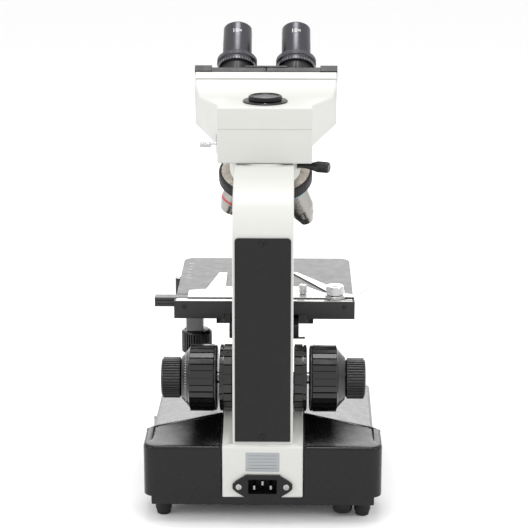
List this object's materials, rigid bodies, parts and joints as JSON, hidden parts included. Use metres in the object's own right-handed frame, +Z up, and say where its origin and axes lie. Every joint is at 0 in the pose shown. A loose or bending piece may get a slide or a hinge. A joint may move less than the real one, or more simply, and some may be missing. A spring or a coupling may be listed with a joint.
{
  "type": "compound trinocular microscope",
  "caption": "Bench microscope with a lit base, focusing stage, tilting objective turret, turning binocular head and capped camera port; drives, slides and turret all move.",
  "frame": {"origin": "on the table plane, under the optical axis of the microscope", "axes": "+Z up along the optical axis, +Y towards the arm and the mains inlet, +X to the right of the user, who sits at -Y and looks along +Y"},
  "size_m": [0.201, 0.2369, 0.3953],
  "materials": {
    "white_enamel": "fine orange-peel enamel, semi-gloss",
    "black_cover": "satin moulded cover",
    "pan_steel": "black powder coat",
    "foot_rubber": "matt",
    "inlet_plastic": "moulded, slightly glossy",
    "charcoal_plate": "fine texture paint",
    "screw_steel": "bright pan heads",
    "gloss_black": "glossy",
    "knob_black": "ribbed, glossy",
    "board_green": "solder resist",
    "cast_aluminium": "satin",
    "black_anodised": "black anodised, satin",
    "optical_glass": "polished, coated",
    "shaft_steel": "turned and ground",
    "rack_brass": "cut",
    "black_painted": "satin black",
    "stage_black": "hard-coated, satin",
    "bright_steel": "satin nickel",
    "bright_chrome": "polished",
    "barrel_silver": "satin chrome barrel",
    "eye_black": "fine texture, satin"
  },
  "bodies": {
    "stand": {"stand_casting": "white_enamel", "base_cover_right": "black_cover", "base_cover_left": "black_cover", "bottom_pan": "pan_steel", "rubber_feet": "foot_rubber", "mains_inlet": "inlet_plastic", "fuse_holder": "inlet_plastic", "arm_cover_plate": "charcoal_plate", "casing_screws": "screw_steel", "power_supply_board": "board_green", "led_module": "cast_aluminium", "collector_housing": "black_anodised", "field_lens": "optical_glass", "nosepiece_base": "black_painted"},
    "power_switch": {"rocker_switch": "gloss_black"},
    "brightness_knob": {"dimmer_knob": "knob_black"},
    "coarse_drive": {"coarse_shaft": "shaft_steel", "coarse_knobs": "knob_black"},
    "fine_drive": {"fine_shaft": "shaft_steel", "fine_knobs": "knob_black"},
    "travel_stop_ring": {"limit_ring": "black_anodised"},
    "drag_ring": {"tension_ring": "black_anodised"},
    "coarse_carriage": {"focus_rack": "rack_brass"},
    "stage_carrier": {"focus_slide": "shaft_steel", "stage_bracket": "black_painted"},
    "stage": {"stage_top_plate": "stage_black", "rear_guide_block": "black_anodised", "drive_housing": "cast_aluminium", "side_post": "black_painted"},
    "slide_holder": {"x_rail": "stage_black", "specimen_holder": "bright_steel", "holder_thumbscrew": "bright_chrome", "finger_nut": "bright_chrome"},
    "finger": {"spring_finger": "bright_steel"},
    "y_drive": {"y_knob": "knob_black"},
    "x_drive": {"x_knob": "knob_black"},
    "condenser_lift_ring": {"condenser_ring": "black_anodised"},
    "condenser": {"condenser_body": "black_anodised"},
    "iris": {"iris_lever": "bright_steel"},
    "filter_arm": {"filter_holder": "black_anodised"},
    "turret": {"nosepiece_turret": "bright_chrome", "objective_4x": "barrel_silver", "objective_10x": "barrel_silver", "objective_40x": "barrel_silver", "objective_100x": "barrel_silver"},
    "head": {"head_body": "white_enamel", "slider_frame": "white_enamel", "photo_port": "black_anodised", "deflecting_prism": "optical_glass"},
    "head_clamp": {"head_clamp_screw": "knob_black"},
    "camera_cap": {"port_cap": "gloss_black"},
    "beam_slide": {"pull_rod": "bright_chrome"},
    "eye_plate_right": {"eyetube_right": "eye_black"},
    "eye_plate_left": {"eyetube_left": "eye_black"},
    "eye_sleeve_right": {"sleeve_right": "shaft_steel"},
    "eye_sleeve_left": {"sleeve_left": "shaft_steel"},
    "dioptre_right": {"dioptre_ring_right": "eye_black"},
    "dioptre_left": {"dioptre_ring_left": "eye_black"},
    "ocular_right": {"eyepiece_right": "eye_black"},
    "ocular_left": {"eyepiece_left": "eye_black"}
  },
  "joints": [
    {"name": "power_rock", "type": "hinge", "parent": "stand", "child": "power_switch", "pos_m": [0.0926, 0.032, 0.05], "axis": [0, 0, 1], "range_deg": [-16, 0]},
    {"name": "brightness_turn", "type": "hinge", "parent": "stand", "child": "brightness_knob", "pos_m": [0, -0.0918, 0.04], "axis": [0, -1, 0], "range_deg": [0, 270]},
    {"name": "coarse_turn", "type": "hinge", "parent": "stand", "child": "coarse_drive", "pos_m": [0, 0.082, 0.113], "axis": [-1, 0, 0], "range_deg": [-27.5, 304.5]},
    {"name": "fine_turn", "type": "hinge", "parent": "stand", "child": "fine_drive", "pos_m": [0, 0.082, 0.113], "axis": [-1, 0, 0], "range_deg": [-1795, 1795]},
    {"name": "travel_stop_turn", "type": "hinge", "parent": "stand", "child": "travel_stop_ring", "pos_m": [0, 0.082, 0.113], "axis": [1, 0, 0], "range_deg": [-60, 60]},
    {"name": "drag_turn", "type": "hinge", "parent": "stand", "child": "drag_ring", "pos_m": [0, 0.082, 0.113], "axis": [1, 0, 0], "range_deg": [-60, 60]},
    {"name": "coarse_lift", "type": "slide", "parent": "stand", "child": "coarse_carriage", "axis": [0, 0, 1], "range_m": [-0.003, 0.033]},
    {"name": "fine_lift", "type": "slide", "parent": "coarse_carriage", "child": "stage_carrier", "axis": [0, 0, 1], "range_m": [-0.001, 0.001]},
    {"name": "stage_y", "type": "slide", "parent": "stage_carrier", "child": "stage", "axis": [0, 1, 0], "range_m": [-0.006, 0.024]},
    {"name": "stage_x", "type": "slide", "parent": "stage", "child": "slide_holder", "axis": [1, 0, 0], "range_m": [-0.035, 0.035]},
    {"name": "finger_open", "type": "hinge", "parent": "slide_holder", "child": "finger", "pos_m": [-0.0615, 0.031, 0.1712], "axis": [0, 0, -1], "range_deg": [0, 25], "stiffness_Nm_per_rad": 0.05, "springref_deg": -11.46},
    {"name": "y_knob_turn", "type": "hinge", "parent": "stage", "child": "y_drive", "pos_m": [0.061, 0.008, 0.13], "axis": [0, 0, 1], "range_deg": [-69, 275.1]},
    {"name": "x_knob_turn", "type": "hinge", "parent": "stage", "child": "x_drive", "pos_m": [0.061, 0.008, 0.1], "axis": [0, 0, 1], "range_deg": [-446, 446]},
    {"name": "condenser_turn", "type": "hinge", "parent": "stage_carrier", "child": "condenser_lift_ring", "pos_m": [0, 0, 0.135], "axis": [0, 0, 1], "range_deg": [0, 240]},
    {"name": "condenser_lift", "type": "slide", "parent": "stage_carrier", "child": "condenser", "axis": [0, 0, -1], "range_m": [0, 0.01]},
    {"name": "iris_swing", "type": "hinge", "parent": "condenser", "child": "iris", "pos_m": [0, 0, 0.124], "axis": [0, 0, 1], "range_deg": [-40, 12]},
    {"name": "filter_swing", "type": "hinge", "parent": "condenser", "child": "filter_arm", "pos_m": [0.023, 0, 0.1125], "axis": [0, 0, 1], "range_deg": [0, 100]},
    {"name": "nosepiece_turn", "type": "hinge", "parent": "stand", "child": "turret", "pos_m": [0, 0, 0.3174], "axis": [0, 0.342, 0.9397], "continuous": true},
    {"name": "head_turn", "type": "hinge", "parent": "stand", "child": "head", "pos_m": [0, 0, 0.29], "axis": [0, 0, 1], "continuous": true},
    {"name": "head_clamp_turn", "type": "hinge", "parent": "stand", "child": "head_clamp", "pos_m": [0, 0, 0.2832], "axis": [-0.9397, 0.342, 0], "range_deg": [0, 180]},
    {"name": "camera_cap_lift", "type": "slide", "parent": "head", "child": "camera_cap", "axis": [0, 0, 1], "range_m": [0, 0.08]},
    {"name": "beam_pull", "type": "slide", "parent": "head", "child": "beam_slide", "axis": [1, 0, 0], "range_m": [0, 0.012]},
    {"name": "eye_spread_right", "type": "slide", "parent": "head", "child": "eye_plate_right", "axis": [1, 0, 0], "range_m": [0, 0.011]},
    {"name": "eye_spread_left", "type": "slide", "parent": "head", "child": "eye_plate_left", "axis": [-1, 0, 0], "range_m": [0, 0.011]},
    {"name": "dioptre_shift_right", "type": "slide", "parent": "eye_plate_right", "child": "eye_sleeve_right", "axis": [0, -0.7071, 0.7071], "range_m": [-0.002, 0.002]},
    {"name": "dioptre_turn_right", "type": "hinge", "parent": "eye_sleeve_right", "child": "dioptre_right", "pos_m": [0.0265, -0.05575, 0.34875], "axis": [0, -0.7071, 0.7071], "range_deg": [-169, 169]},
    {"name": "eyepiece_pull_right", "type": "slide", "parent": "eye_sleeve_right", "child": "ocular_right", "axis": [0, -0.7071, 0.7071], "range_m": [0, 0.06]},
    {"name": "dioptre_shift_left", "type": "slide", "parent": "eye_plate_left", "child": "eye_sleeve_left", "axis": [0, -0.7071, 0.7071], "range_m": [-0.002, 0.002]},
    {"name": "dioptre_turn_left", "type": "hinge", "parent": "eye_sleeve_left", "child": "dioptre_left", "pos_m": [-0.0265, -0.05575, 0.34875], "axis": [0, -0.7071, 0.7071], "range_deg": [-169, 169]},
    {"name": "eyepiece_pull_left", "type": "slide", "parent": "eye_sleeve_left", "child": "ocular_left", "axis": [0, -0.7071, 0.7071], "range_m": [0, 0.06]}
  ],
  "couplings": [
    {"joint": "coarse_lift", "follows": "coarse_turn", "m_per_rad": 0.0062},
    {"joint": "fine_lift", "follows": "fine_turn", "m_per_rad": 0.00003183},
    {"joint": "y_knob_turn", "follows": "stage_y", "rad_per_m": 200},
    {"joint": "x_knob_turn", "follows": "stage_x", "rad_per_m": 222.2},
    {"joint": "condenser_lift", "follows": "condenser_turn", "m_per_rad": 0.002387},
    {"joint": "eye_spread_left", "follows": "eye_spread_right", "ratio": 1},
    {"joint": "dioptre_shift_right", "follows": "dioptre_turn_right", "m_per_rad": 0.000674},
    {"joint": "dioptre_shift_left", "follows": "dioptre_turn_left", "m_per_rad": 0.000674}
  ]
}
